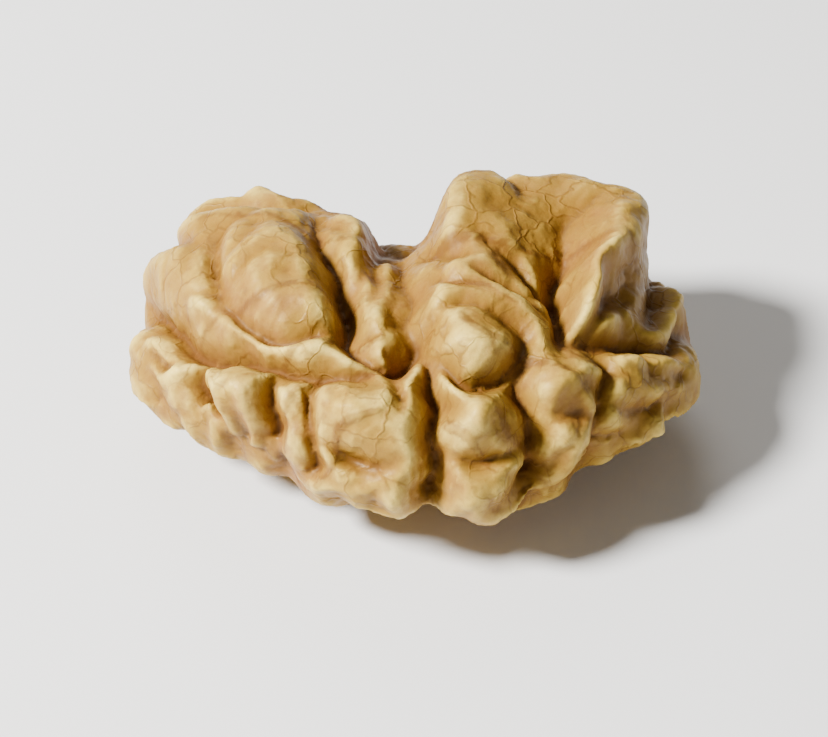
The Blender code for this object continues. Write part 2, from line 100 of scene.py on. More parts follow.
# Each crease is its width and the points of its line: x, y, depth and side.
CREASES = {
    "strap left": (0.8, [(-5.0, 8.0, 0.2, OUTER), (-5.3, 5.0, 1.0, OUTER), (-5.1, 1.9, 1.8, OUTER),
                         (-4.2, 0.2, 2.1, OUTER), (-3.4, -1.4, 2.0, OUTER), (-2.9, -4.0, 1.7, OUTER),
                         (-2.6, -5.6, 1.4, OUTER)]),
    "strap line": (0.7, [(-2.4, 6.4, 0.2, OUTER), (-1.9, 2.0, 0.4, OUTER), (-1.7, -3.0, 0.3, OUTER)]),
    "strap end": (0.8, [(-2.8, -5.2, 1.3, OUTER), (-2.1, -6.2, 2.0, OUTER), (-1.3, -6.6, 2.7, OUTER),
                        (-0.5, -5.6, 2.2, OUTER), (0.3, -4.0, 1.5, OUTER)]),
    "seam": (0.8, [(0.3, 8.8, 0.3, OUTER), (0.1, 4.0, 0.5, OUTER), (-0.1, 0.0, 0.8, OUTER),
                   (0.2, -2.8, 1.2, OUTER), (0.5, -5.2, 1.6, OUTER), (0.8, -7.2, 2.0, OUTER),
                   (1.2, -8.8, 2.2, OUTER), (1.3, -10.2, 2.2, OUTER), (0.9, -11.7, 2.2, OUTER),
                   (0.7, -9.4, 1.9, INNER), (0.2, -6.0, 1.4, INNER)]),
    "left cross": (1.0, [(-12.8, 3.6, 1.4, INNER), (-14.8, 2.6, 1.9, OUTER), (-12.4, -1.8, 2.4, OUTER),
                         (-10.3, -3.8, 2.7, OUTER), (-8.8, -4.8, 2.6, OUTER), (-6.5, -6.2, 2.3, OUTER),
                         (-4.2, -7.1, 1.8, OUTER), (-2.4, -7.0, 1.6, OUTER)]),
    "left rim": (0.7, [(-11.0, 7.2, 0.6, OUTER), (-9.2, 7.6, 1.2, OUTER), (-7.7, 7.4, 1.4, OUTER),
                       (-6.3, 7.2, 1.1, OUTER), (-5.6, 8.2, 0.6, OUTER)]),
    "left crown low": (0.8, [(-10.2, -1.5, 0.9, OUTER), (-8.5, -3.1, 1.6, OUTER),
                             (-7.0, -4.2, 1.8, OUTER), (-5.0, -4.8, 1.5, OUTER), (-3.7, -3.8, 0.9, OUTER)]),
    "left crown side": (0.8, [(-9.8, 4.6, 0.3, OUTER), (-10.4, 2.2, 0.9, OUTER),
                              (-10.5, 0.2, 1.0, OUTER), (-10.0, -1.4, 0.8, OUTER)]),
    "left end": (0.9, [(-9.8, -6.8, 0.9, INNER), (-12.2, -7.0, 1.8, OUTER), (-12.1, -6.2, 2.2, OUTER),
                       (-11.8, -5.2, 2.3, OUTER), (-11.2, -4.0, 1.9, OUTER)]),
    "left end line": (0.6, [(-14.6, -1.3, 0.5, OUTER), (-13.5, -2.6, 1.1, OUTER),
                            (-12.6, -2.4, 0.5, OUTER)]),
    "left finger": (0.8, [(-6.8, -8.4, 1.2, INNER), (-8.6, -9.8, 1.7, OUTER), (-8.0, -8.8, 1.9, OUTER),
                          (-7.6, -7.8, 1.8, OUTER), (-6.9, -6.6, 1.4, OUTER)]),
    "left finger line": (0.6, [(-10.6, -8.5, 0.8, OUTER), (-9.6, -8.1, 1.2, OUTER),
                               (-9.1, -6.8, 0.4, OUTER)]),
    "left bud": (0.9, [(-5.4, -10.9, 1.5, OUTER), (-5.5, -9.9, 1.7, OUTER), (-5.1, -8.6, 1.8, OUTER),
                       (-4.3, -7.4, 1.6, OUTER)]),
    "left thumb cross": (0.9, [(-5.6, -9.6, 0.7, OUTER), (-3.8, -10.6, 1.3, OUTER),
                               (-1.8, -11.0, 0.9, OUTER), (0.4, -10.6, 0.4, OUTER)]),
    "left thumb top": (0.6, [(-4.2, -6.8, 0.9, OUTER), (-3.8, -8.0, 1.1, OUTER), (-3.9, -9.0, 0.4, OUTER)]),
    "left thumb turn": (0.6, [(-1.3, -6.8, 1.4, OUTER), (-0.8, -7.9, 1.2, OUTER), (-0.7, -9.0, 0.4, OUTER)]),
    "left far": (0.9, [(-8.6, 8.4, 0.4, OUTER), (-8.2, 10.2, 1.6, OUTER), (-7.6, 10.6, 1.9, INNER),
                       (-6.8, 8.0, 1.4, INNER)]),
    "left far corner": (0.8, [(-11.8, 5.0, 0.6, OUTER), (-12.4, 7.2, 1.7, OUTER), (-10.6, 5.8, 1.4, INNER)]),
    "left far step": (0.7, [(-6.4, 9.0, 0.3, OUTER), (-6.0, 10.4, 0.9, OUTER), (-5.4, 10.8, 1.0, INNER)]),
    "hook hollow": (1.5, [(8.0, 5.4, 0.5, OUTER), (8.3, 3.2, 1.3, OUTER), (8.2, 0.8, 2.1, OUTER),
                          (7.9, -1.3, 2.7, OUTER), (7.7, -3.2, 2.5, OUTER)]),
    "hook outer": (0.9, [(11.8, 5.6, 0.3, OUTER), (11.3, 2.8, 0.8, OUTER), (10.9, 0.3, 1.3, OUTER),
                         (10.3, -1.6, 1.6, OUTER), (9.6, -3.3, 1.6, OUTER)]),
    "hook step": (0.7, [(4.6, 10.2, 1.0, OUTER), (4.8, 8.2, 0.9, OUTER), (5.4, 6.2, 0.3, OUTER)]),
    "slope line": (0.7, [(4.0, 1.8, 0.4, OUTER), (5.6, 0.8, 1.2, OUTER), (7.0, -0.6, 1.6, OUTER),
                         (7.8, -2.4, 1.4, OUTER)]),
    "slope step": (0.6, [(3.4, -0.2, 0.4, OUTER), (5.0, -1.2, 1.2, OUTER), (6.6, -2.4, 1.4, OUTER),
                         (7.4, -3.4, 1.2, OUTER)]),
    "slope spot": (0.6, [(1.2, 2.4, 0.5, OUTER), (2.1, 1.5, 1.2, OUTER), (3.2, 1.2, 0.4, OUTER)]),
    "slope level": (0.5, [(0.8, 0.6, 0.3, OUTER), (2.1, -1.0, 0.9, OUTER), (3.6, -1.3, 0.5, OUTER)]),
    "right cross": (1.0, [(7.2, -3.7, 1.5, OUTER), (9.2, -3.8, 2.0, OUTER), (11.6, -3.0, 1.9, OUTER),
                          (13.4, -1.4, 1.8, OUTER), (14.9, 1.4, 1.6, OUTER), (12.9, 2.6, 1.4, INNER)]),
    "right side": (0.9, [(13.3, 5.4, 1.1, OUTER), (13.3, 3.2, 1.1, OUTER), (13.0, 0.6, 1.0, OUTER),
                         (12.5, -1.6, 0.7, OUTER)]),
    "right upper": (0.7, [(12.9, 3.4, 0.5, OUTER), (12.0, 2.4, 0.6, OUTER), (11.2, 1.4, 0.3, OUTER)]),
    "centre bump": (0.8, [(0.8, -5.4, 1.1, OUTER), (1.6, -6.4, 1.6, OUTER), (2.9, -7.0, 1.9, OUTER),
                          (4.4, -6.6, 1.9, OUTER), (5.0, -5.3, 1.7, OUTER), (4.8, -3.9, 1.3, OUTER),
                          (3.8, -3.0, 0.9, OUTER), (2.5, -2.8, 0.7, OUTER), (1.0, -3.0, 0.5, OUTER)]),
    "right thumb": (0.9, [(5.4, -5.6, 1.6, OUTER), (5.3, -7.6, 2.1, OUTER), (5.9, -9.4, 2.4, OUTER),
                          (6.2, -10.9, 2.6, OUTER), (5.2, -8.8, 1.6, INNER)]),
    "right thumb cross": (0.9, [(1.0, -10.0, 0.8, OUTER), (3.0, -10.6, 1.0, OUTER),
                                (4.6, -10.4, 1.0, OUTER), (6.2, -9.8, 0.9, OUTER)]),
    "right finger": (0.9, [(9.2, -4.0, 1.3, OUTER), (10.3, -4.8, 1.4, OUTER), (9.8, -6.4, 1.4, OUTER),
                           (10.0, -7.9, 1.4, OUTER), (10.6, -8.7, 1.3, OUTER), (8.8, -7.4, 1.1, INNER)]),
    "right finger cross": (0.9, [(5.4, -7.8, 0.8, OUTER), (7.4, -8.4, 0.8, OUTER),
                                 (9.6, -7.6, 0.8, OUTER)]),
    "right end far": (0.8, [(14.5, -2.0, 0.5, OUTER), (13.2, -3.6, 0.6, OUTER), (11.3, -5.1, 0.5, OUTER)]),
    "right end near": (0.8, [(13.9, -4.9, 0.6, OUTER), (12.4, -6.1, 0.6, OUTER), (10.4, -6.6, 0.5, OUTER)]),
    "right far": (0.8, [(6.6, 9.2, 0.3, OUTER), (6.8, 10.5, 1.3, OUTER), (6.4, 9.0, 1.7, INNER)]),
    "right far turn": (0.9, [(9.6, 7.8, 0.3, OUTER), (10.4, 8.6, 1.4, OUTER), (9.4, 7.2, 1.8, INNER)]),
    "right far corner": (0.7, [(11.6, 5.8, 0.5, OUTER), (12.8, 6.4, 1.4, OUTER), (11.4, 5.4, 1.4, INNER)]),
    "inner left": (1.3, [(-4.6, 7.6, 1.4, INNER), (-8.2, 6.0, 2.2, INNER), (-10.2, 2.2, 2.0, INNER),
                         (-9.6, -2.4, 2.2, INNER), (-6.8, -5.4, 1.8, INNER), (-4.0, -6.0, 1.2, INNER)]),
    "inner left fork": (0.8, [(-9.8, 0.2, 1.6, INNER), (-7.4, 1.0, 1.4, INNER), (-5.0, 0.2, 0.8, INNER)]),
    "inner right": (1.3, [(3.4, 7.0, 1.2, INNER), (7.2, 6.6, 2.0, INNER), (10.0, 3.4, 2.2, INNER),
                          (10.2, -1.2, 2.2, INNER), (8.0, -5.0, 2.0, INNER), (4.6, -6.2, 1.4, INNER)]),
    "inner right fork": (0.8, [(9.8, 1.6, 1.6, INNER), (7.0, 0.4, 1.5, INNER), (5.0, 1.6, 0.8, INNER)]),
}

# Short creases over the rim of the inner side: how many, how unevenly they follow each other as a
# share of their spacing, their width, the least and most depth, the sideways lean in radians, how
# far out their three points are and their share of the depth.
RIM_CREASES = 19
RIM_UNEVENNESS = 0.3
RIM_WIDTH = 0.7
RIM_DEPTHS = (0.7, 1.7)
RIM_LEAN = 0.12
RIM_POINTS = ((0.99, 0.2, OUTER), (0.93, 1.0, INNER), (0.78, 0.4, INNER))
RIM_SEED = 5

# The knobs and crests of the folds. Each is its width, how steep its sides are, and its line:
# x, y, height and side. The shell presses these.
KNOBS = {
    "left crown": (2.6, 2, [(-8.8, 2.0, 0.5, OUTER), (-7.0, 1.8, 0.5, OUTER)]),
    "left finger": (1.5, 2, [(-9.4, -6.8, 0.5, OUTER), (-8.4, -6.2, 0.5, OUTER)]),
    "left bud": (1.0, 2, [(-6.9, -8.6, -0.8, OUTER), (-6.4, -7.4, -0.5, OUTER)]),
    "left thumb": (1.7, 2, [(-3.2, -8.8, 0.5, OUTER), (-2.0, -8.6, 0.5, OUTER)]),
    "hook": (1.5, 2, [(1.9, 4.6, 0.4, OUTER), (3.7, 6.5, 0.9, OUTER), (5.6, 8.2, 0.9, OUTER),
                      (8.0, 8.2, 1.0, OUTER), (10.2, 6.0, 1.0, OUTER), (10.1, 2.0, 1.0, OUTER),
                      (9.3, -1.6, 1.1, OUTER), (8.6, -3.3, 0.5, OUTER)]),
    "right slope": (2.2, 2, [(5.6, 3.6, -0.3, OUTER), (6.6, 0.8, -0.8, OUTER)]),
    "centre bump": (1.3, 2, [(2.4, -5.3, 0.3, OUTER), (3.6, -5.1, 0.3, OUTER)]),
    "right thumb": (1.2, 2, [(2.7, -9.2, 0.5, OUTER), (3.4, -9.0, 0.5, OUTER)]),
}

# The broad swells and hollows that shape the whole kernel, given as the knobs are.
SWELLS = {
    "strap": (2.4, 6, [(0.0, 12.0, -2.3, OUTER), (0.0, 8.0, -2.1, OUTER), (-0.3, 4.0, -1.8, OUTER),
                       (-1.0, 0.0, -1.1, OUTER), (-1.4, -3.6, -0.7, OUTER)]),
    "strap side": (3.2, 3, [(-1.5, 12.0, -1.6, OUTER), (-1.5, 8.0, -1.4, OUTER), (-1.7, 3.0, -0.9, OUTER),
                            (-1.8, -3.6, -0.5, OUTER)]),
    "stem notch": (2.8, 3, [(-1.3, 11.8, -4.0, INNER), (-1.3, 8.8, -2.2, INNER), (-1.3, 6.0, -1.0, INNER)]),
    "far left": (2.8, 2, [(-12.4, 5.4, 0.8, OUTER), (-10.4, 7.6, 1.8, OUTER), (-8.4, 9.2, 1.5, OUTER)]),
    "far left inside": (1.6, 2, [(-4.8, 9.8, -0.7, OUTER), (-4.8, 8.0, -0.3, OUTER)]),
    "far right": (3.0, 2, [(6.6, 9.6, 0.7, OUTER), (9.4, 8.2, 1.4, OUTER), (11.8, 5.6, 0.6, OUTER)]),
    "far right inside": (1.5, 2, [(3.8, 9.4, 0.3, OUTER), (3.4, 6.4, 0.2, OUTER)]),
    "hook crest": (0.9, 2, [(9.4, 8.2, 0.1, OUTER), (10.7, 6.0, 0.8, OUTER), (10.4, 2.4, 0.9, OUTER),
                            (9.5, -0.8, 0.8, OUTER), (8.7, -2.8, 0.3, OUTER)]),
    "hook flank": (1.7, 2, [(12.8, 5.4, -0.6, OUTER), (12.6, 2.6, -0.9, OUTER), (11.6, -0.4, -0.7, OUTER)]),
    "near left": (4.2, 2, [(-14.4, -4.2, -1.9, OUTER), (-11.4, -8.4, -2.8, OUTER),
                           (-8.0, -11.0, -2.4, OUTER), (-5.2, -12.0, -1.2, OUTER)]),
    "near left under": (2.8, 2, [(-13.4, -5.4, -1.6, INNER), (-10.6, -8.4, -2.4, INNER),
                                 (-7.2, -10.4, -2.2, INNER), (-4.4, -11.2, -1.0, INNER)]),
    "near right": (3.4, 2, [(5.6, -11.8, -0.4, OUTER), (8.2, -10.6, -1.6, OUTER),
                            (11.4, -8.2, -2.2, OUTER), (14.2, -4.2, -1.2, OUTER)]),
    "near right under": (2.6, 2, [(6.6, -10.6, -1.0, INNER), (10.4, -8.0, -2.2, INNER),
                                  (13.4, -4.4, -1.2, INNER)]),
    "inner middle": (3.0, 2, [(-1.2, 12.0, -2.0, INNER), (-0.8, 4.0, -1.9, INNER),
                              (0.2, -4.0, -1.9, INNER), (0.6, -11.0, -1.2, INNER)]),
    "foot left": (2.4, 2, [(-7.0, 1.6, 1.0, INNER), (-6.0, 1.2, 1.0, INNER)]),
    "foot right far": (2.2, 2, [(6.4, 4.0, 1.1, INNER), (6.0, 3.8, 1.1, INNER)]),
    "foot right near": (2.4, 2, [(5.6, -3.8, 1.4, INNER), (5.2, -3.6, 1.4, INNER)]),
}

# Veins in the skin: where they start along the bridge and how far off its middle, how they run
# and fork, how wide they are and how far they rise.
VEIN_STARTS = ((8.0, 5.0, 2.0, -1.0, -4.0, -6.5, -9.0), (OUTER, INNER))
VEIN_START_OFFSETS = (1.0, 2.4)
VEIN_STEP = 1.3
VEIN_STEPS = 12
VEIN_TURN = 0.32
VEIN_FORK_CHANCE = 0.4
VEIN_FORK_TURN = 0.6
VEIN_FORK_STRENGTH = 0.7
VEIN_WIDTH = 0.22
VEIN_RISE = 0.06
VEIN_SEED = 8

# The finest veins: the size of the cells between them, the noise that bends them, as its size, its
# reach and its detail, and the width of a line as a share of a cell. They show least and most at
# two values of the patches.
WEB_CELL = 2.0
WEB_BEND = (1.6, 2.0, 2.0)
WEB_LINE = 0.06
WEB_SHOWN = (0.6, 0.4, 0.15, 1.0)

# How many rounds of smoothing tell small crests and grooves, and how many tell whole folds.
SMALL_FORM_ROUNDS = 6
WHOLE_FORM_ROUNDS = 60

# Colours of the skin, in linear light. The cream paints highlights on the fold tops and the dark paints
# shade in the small grooves; the pale and the brown are partly the skin's own colour and partly painted
# highlight and shade.
CREAM_HIGHLIGHT = (0.92, 0.72, 0.20, 1)
PALE = (0.545, 0.36, 0.056, 1)
TAN = (0.24, 0.12, 0.014, 1)
PINK = (0.255, 0.105, 0.026, 1)
BROWN = (0.135, 0.047, 0.007, 1)
DARK_SHADE = (0.055, 0.016, 0.003, 1)
VEIN = (0.11, 0.037, 0.006, 1)

# What the mesh tells of the skin at each vertex, and the noises of the skin. Each noise is the
# size of its waves in millimetres, its detail and its roughness.
SKIN_ATTRIBUTES = ("small_form", "whole_form", "crease", "vein")
SKIN_NOISES = {
    "patches": (4.5, 4.0, 0.6),
    "spots": (2.6, 3.0, 0.5),
    "mottle": (1.1, 5.0, 0.65),
    "grain": (0.28, 4.0, 0.6),
}

# The colours that lie over the tan, from first to last. Each is its colour, its share and what it
# depends on, with the values where it starts and where it is full. The web already runs from 0 to 1.
SKIN_LAYERS = (
    # Paler on the tops of the whole folds: partly the skin's own paler crests, partly a painted highlight.
    (PALE, 1.0, ("whole_form", -0.1, 0.65)),
    # Painted highlight: cream in spots over the tops of the whole folds.
    (CREAM_HIGHLIGHT, 1.0, ("whole_form", 0.1, 0.6), ("spots", 0.36, 0.56)),
    (PINK, 0.5, ("patches", 0.48, 0.68)),
    (BROWN, 0.35, ("mottle", 0.5, 0.75)),
    # Brown in the hollows between the whole folds: partly the skin's own browner grooves, partly painted
    # shade.
    (BROWN, 0.75, ("whole_form", 0.05, -0.6)),
    # Brown along the deep creases: partly the skin's own browner grooves, partly painted shade.
    (BROWN, 0.65, ("crease", 1.3, 3.9)),
    # Painted shade: dark in the small grooves of the wrinkles.
    (DARK_SHADE, 0.5, ("small_form", -0.01, -0.09)),
    (VEIN, 0.65, ("vein", 0.1, 0.7)),
    (VEIN, 0.4, ("web",)),
    # Paler on the small crests: partly the skin's own paler crests, partly a painted highlight.
    (PALE, 0.3, ("small_form", 0.02, 0.07)),
    (BROWN, 0.25, ("grain", 0.45, 0.8)),
)

# The roughness: what the mottle makes it, and what the creases add. Each is the two values of its
# cause and the roughness at them.
GLOSS = (0.3, 0.7, 0.38, 0.52)
DULLNESS = (1.0, 3.0, 0.0, 0.35)

# The finest relief. Each is what it follows, its strength and its height in millimetres.
BUMPS = (("mottle", 0.3, 0.12), ("web", 0.5, 0.05), ("grain", 0.4, 0.04))

# Light under and on the skin. The scale is in millimetres.
SUBSURFACE_WEIGHT = 0.06
SUBSURFACE_RADIUS = (1.0, 0.5, 0.2)
SUBSURFACE_SCALE = 0.6
SKIN_IOR = 1.4
SPECULAR_LEVEL = 0.33
SPECULAR_TINT = (1.0, 0.8, 0.5, 1)

# The floor and the light. From here on the sizes are in metres.
FLOOR_COLOUR = (0.78, 0.77, 0.75, 1)
FLOOR_ROUGHNESS = 0.7
FLOOR_HALF = 0.6
SKY_COLOUR = (1.0, 0.95, 0.88, 1)
SKY_STRENGTH = 0.16

# Each light is its place, its size and its power in watts. All of them point at the kernel.
LIGHTS = {
    "key": ((-0.25, -0.07, 0.25), 0.08, 5.7),
    "back": ((-0.04, 0.26, 0.26), 0.20, 0.4),
    "fill": ((0.26, -0.22, 0.16), 0.24, 0.15),
}

# The camera looks at the kernel from the near side, as steeply as the photograph does. The lens is
# in millimetres.
ELEVATION = 41.0
DISTANCE = 0.119
LENS = 100.0
CLIP_START = 0.01
AIM = (0.0, 0.0, 0.0046)


def rim_creases():
    """Short creases over the rim of the inner side, at uneven places round it."""
    draw = random.Random(RIM_SEED)
    made = []
    for k in range(RIM_CREASES):
        turn = 2 * math.pi * (k + draw.uniform(-RIM_UNEVENNESS, RIM_UNEVENNESS)) / RIM_CREASES
        lean = draw.uniform(-RIM_LEAN, RIM_LEAN)
        depth = draw.uniform(*RIM_DEPTHS)
        line = []
        for place, (reach, share, side) in enumerate(RIM_POINTS):
            x = reach * HALF_WIDTH * math.cos(turn + place * lean)
            y = reach * HALF_LENGTH * math.sin(turn + place * lean)
            line.append((x, y, share * depth, side))
        made.append((RIM_WIDTH, line))
    return made


def half_sizes(directions):
    """The hull's half sizes on the side that each direction points to."""
    heights = np.where(directions[:, 2] > 0, OVER_MARGIN, UNDER_MARGIN)
    widths = np.full(len(heights), HALF_WIDTH)
    lengths = np.full(len(heights), HALF_LENGTH)
    return np.stack([widths, lengths, heights], axis=1)


def hull(directions):
    """Points and outward normals of the plain hull, where directions from its middle meet it.

    A direction is given in units of the hull's half sizes.
    """
    stretch = (np.abs(directions) ** HULL_POWER).sum(axis=1) ** (-1 / HULL_POWER)
    unit = directions * stretch[:, None]
    halves = half_sizes(directions)
    normals = np.sign(unit) * np.abs(unit) ** (HULL_POWER - 1) / halves
    normals /= np.linalg.norm(normals, axis=1)[:, None]
    return unit * halves + (0, 0, UNDER_MARGIN), normals


def on_hull(x, y, side):
    """The point of the plain hull over or under a place in plan."""
    reach = (abs(x / HALF_WIDTH) ** HULL_POWER + abs(y / HALF_LENGTH) ** HULL_POWER) ** (1 / HULL_POWER)
    if reach > 1.0:
        x /= reach
        y /= reach
    height = OVER_MARGIN if side == OUTER else UNDER_MARGIN
    rise = max(0.0, 1.0 - reach**HULL_POWER) ** (1 / HULL_POWER)
    return x, y, UNDER_MARGIN + side * height * rise


def smooth_line(points):
    """A Catmull-Rom line through the points, as rows of x, y, z and amount."""
    spots = np.array([(*on_hull(x, y, side), amount) for x, y, amount, side in points])
    spots = np.vstack([spots[:1], spots, spots[-1:]])
    rows = []
    for p0, p1, p2, p3 in zip(spots, spots[1:], spots[2:], spots[3:]):
        for t in np.arange(STEPS_BETWEEN_POINTS) / STEPS_BETWEEN_POINTS:
            quadratic = (2 * p0 - 5 * p1 + 4 * p2 - p3) * t**2
            cubic = (3 * p1 - p0 - 3 * p2 + p3) * t**3
            rows.append(p1 + ((p2 - p0) * t + quadratic + cubic) / 2)
    rows.append(spots[-1])
    return np.array(rows)


def nearest_on(line, points):
    """Each point's distance to a line, and the line's amount at the nearest place."""
    best = np.full(len(points), np.inf)
    amount = np.zeros(len(points))
    for start, end in zip(line, line[1:]):
        run = end[:3] - start[:3]
        share = np.clip((points - start[:3]) @ run / (run @ run), 0, 1)
        distance = np.linalg.norm(points - start[:3] - share[:, None] * run, axis=1)
        closer = distance < best
        best[closer] = distance[closer]
        amount[closer] = (start[3] + share * (end[3] - start[3]))[closer]
    return best, amount


def noise_at(points, size, seed):
    offset = Vector((seed * 17.3, seed * 5.1, seed * 9.7))
    return np.array([noise.noise(Vector(p) / size + offset) for p in points])


def bent(points, size, height, seed):
    """The points, moved about by noise."""
    return points + height * np.stack([noise_at(points, size, seed + k) for k in range(3)], axis=1)


def moved_along(points):
    """The hull's points moved along it by noise, which makes the creases wander."""
    moved = bent(bent(points, *BEND), *RIPPLE) - (0, 0, UNDER_MARGIN)
    return hull(moved / half_sizes(moved))[0]


def crease_depth(points):
    """How deep the creases go at each point: steep by the line, round up to the fold's top."""
    joined = np.zeros(len(points))
    for width, line in list(CREASES.values()) + rim_creases():
        distance, depth = nearest_on(smooth_line(line), points)
        inward = 1 - np.clip(np.hypot(distance, BOTTOM) / (ROUNDING * width), 0, 1)
        joined += (depth * (1 - np.sqrt(1 - inward**2))) ** JOINING_POWER
    return DEEPENING * joined ** (1 / JOINING_POWER)


def swelling(points, swells):
    """How much the swells of a table add at each point."""
    total = np.zeros(len(points))
    for width, power, line in swells.values():
        distance, rise = nearest_on(smooth_line(line), points)
        total += rise * np.exp(-((distance / width) ** power))
    return total


def wrinkling(points):
    """Round wrinkles with sharp valleys, on slow swells."""
    size, height, seed = WRINKLE
    wrinkles = np.abs(noise_at(bent(points, *WRINKLE_BEND), size, seed)) - WRINKLE_MIDDLE
    slow_size, slow_height, slow_seed = SWELL
    return height * wrinkles + slow_height * noise_at(points, slow_size, slow_seed)


def pressed(folds):
    """The folds' heights, held back where the shell would have stopped them."""
    return folds - PRESS_SOFTNESS * np.logaddexp(0, (folds - PRESSED_TO) / PRESS_SOFTNESS)


def vein_lines():
    """Lines that run outward from the bridge over both wings and fork on their way."""
    draw = random.Random(VEIN_SEED)
    starts, sides = VEIN_STARTS
    waiting = []
    for side in sides:
        for y in starts:
            for wing in (-1, 1):
                heading = math.atan2(y, wing * HALF_WIDTH / 2) + draw.uniform(-VEIN_TURN, VEIN_TURN)
                x = wing * draw.uniform(*VEIN_START_OFFSETS)
                waiting.append((x, y, heading, side, 1.0, VEIN_STEPS))
    lines = []
    while waiting:
        x, y, heading, side, strength, steps = waiting.pop()
        line = [(x, y, strength, side)]
        for left in range(steps, 0, -1):
            heading += draw.uniform(-VEIN_TURN, VEIN_TURN)
            x += VEIN_STEP * math.cos(heading)
            y += VEIN_STEP * math.sin(heading)
            if abs(x / HALF_WIDTH) ** HULL_POWER + abs(y / HALF_LENGTH) ** HULL_POWER > 1:
                break
            line.append((x, y, strength * left / VEIN_STEPS, side))
            if draw.random() < VEIN_FORK_CHANCE:
                turn = draw.choice((-1, 1)) * VEIN_FORK_TURN
                waiting.append((x, y, heading + turn, side, VEIN_FORK_STRENGTH * strength, left // 2))
        if len(line) > 2:
            lines.append(line)
    return lines


def vein_strength(points):
    """How strongly a vein shows at each point."""
    strongest = np.zeros(len(points))
    for line in vein_lines():
        distance, strength = nearest_on(smooth_line(line), points)
        strongest = np.maximum(strongest, strength * np.exp(-((distance / VEIN_WIDTH) ** 2)))
    return strongest


def coordinates(mesh):
    flat = np.empty(len(mesh.vertices) * 3)
    mesh.vertices.foreach_get("co", flat)
    return flat.reshape(-1, 3)


def normals_of(mesh):
    flat = np.empty(len(mesh.vertices) * 3)
    mesh.vertices.foreach_get("normal", flat)
    return flat.reshape(-1, 3)


def folded_hull():
    """The hull's mesh with the relief on it, and what is known of the skin at each vertex."""
    bm = bmesh.new()
    bmesh.ops.create_icosphere(bm, subdivisions=SUBDIVISIONS, radius=1.0)
    mesh = bpy.data.meshes.new("walnut_kernel")
    bm.to_mesh(mesh)
    bm.free()
    points, normals = hull(coordinates(mesh))
    seen = moved_along(points)
    depth = crease_depth(seen)
    folds = pressed(swelling(seen, KNOBS) - depth + wrinkling(points))
    places = points + normals * (swelling(seen, SWELLS) + folds)[:, None]
    mesh.vertices.foreach_set("co", places.ravel())
    return mesh, places, {"crease": depth, "vein": vein_strength(seen)}


def apply_modifier(obj, kind, **settings):
    """Replaces the object's mesh by the result of one modifier."""
    modifier = obj.modifiers.new(kind, kind)
    for name, value in settings.items():
        setattr(modifier, name, value)
    graph = bpy.context.evaluated_depsgraph_get()
    mesh = bpy.data.meshes.new_from_object(obj.evaluated_get(graph))
    obj.modifiers.clear()
    obj.data = mesh


def connected(vert):
    """All the vertices that edges join to this one."""
    found = {vert}
    waiting = [vert]
    while waiting:
        for edge in waiting.pop().link_edges:
            for other in edge.verts:
                if other not in found:
                    found.add(other)
                    waiting.append(other)
    return found


def keep_outer_body(mesh):
    """Drops the small bubbles that folds close off where they meet inside the kernel."""
    bm = bmesh.new()
    bm.from_mesh(mesh)
    outermost = max(bm.verts, key=lambda v: v.co.x)
    kept = connected(outermost)
    bubbles = [v for v in bm.verts if v not in kept]
    bmesh.ops.delete(bm, geom=bubbles, context="VERTS")
    bm.to_mesh(mesh)
    bm.free()


def carried_over(places, values, points):
    """Each named value at the points, from the nearest of the places."""
    tree = KDTree(len(places))
    for index, place in enumerate(places):
        tree.insert(place, index)
    tree.balance()
    nearest = np.array([tree.find(p)[1] for p in points])
    return {name: value[nearest] for name, value in values.items()}


def fine_wrinkling(points, depth):
    """The skin's own wrinkles, which run along the creases beside them."""
    warped = bent(points, *FINE_BEND)
    along = warped + FINE_ALONG_CREASES * depth[:, None]
    total = np.zeros(len(points))
    for size, height, seed in FINE_WRINKLES:
        total += height * (np.abs(noise_at(along, size, seed)) - WRINKLE_MIDDLE)
    return total


def smoothed(points, edges, rounds):
    """The points after rounds of moving each to the middle of its neighbours."""
    first, second = edges.T
    count = np.bincount(edges.ravel(), minlength=len(points))
    for _ in range(rounds):
        total = np.empty_like(points)
        for axis in range(3):
            total[:, axis] = np.bincount(first, points[second, axis], len(points))
            total[:, axis] += np.bincount(second, points[first, axis], len(points))
        points = total / count[:, None]
    return points


def standing_out(mesh, rounds):
    """How far each vertex stands out of its smoothed surroundings: crests over 0, grooves under."""
    flat = np.empty(len(mesh.edges) * 2, dtype=np.int32)
    mesh.edges.foreach_get("vertices", flat)
    points = coordinates(mesh)
    away = points - smoothed(points, flat.reshape(-1, 2), rounds)
    return (away * normals_of(mesh)).sum(axis=1)


def store(mesh, name, values):
    layer = mesh.attributes.new(name, "FLOAT", "POINT")
    layer.data.foreach_set("value", values.astype(np.float32))


def cut_level(mesh, height):
    """Cuts the mesh off level at a height and closes it."""
    bm = bmesh.new()
    bm.from_mesh(mesh)
    every = bm.verts[:] + bm.edges[:] + bm.faces[:]
    plane = {"plane_co": (0, 0, height), "plane_no": (0, 0, 1)}
    bmesh.ops.bisect_plane(bm, geom=every, dist=ON_PLANE, clear_inner=True, **plane)
    rims = [edge for edge in bm.edges if edge.is_boundary]
    bmesh.ops.holes_fill(bm, edges=rims)
    many_sided = [face for face in bm.faces if len(face.verts) > 4]
    bmesh.ops.triangulate(bm, faces=many_sided)
    bm.to_mesh(mesh)
    bm.free()


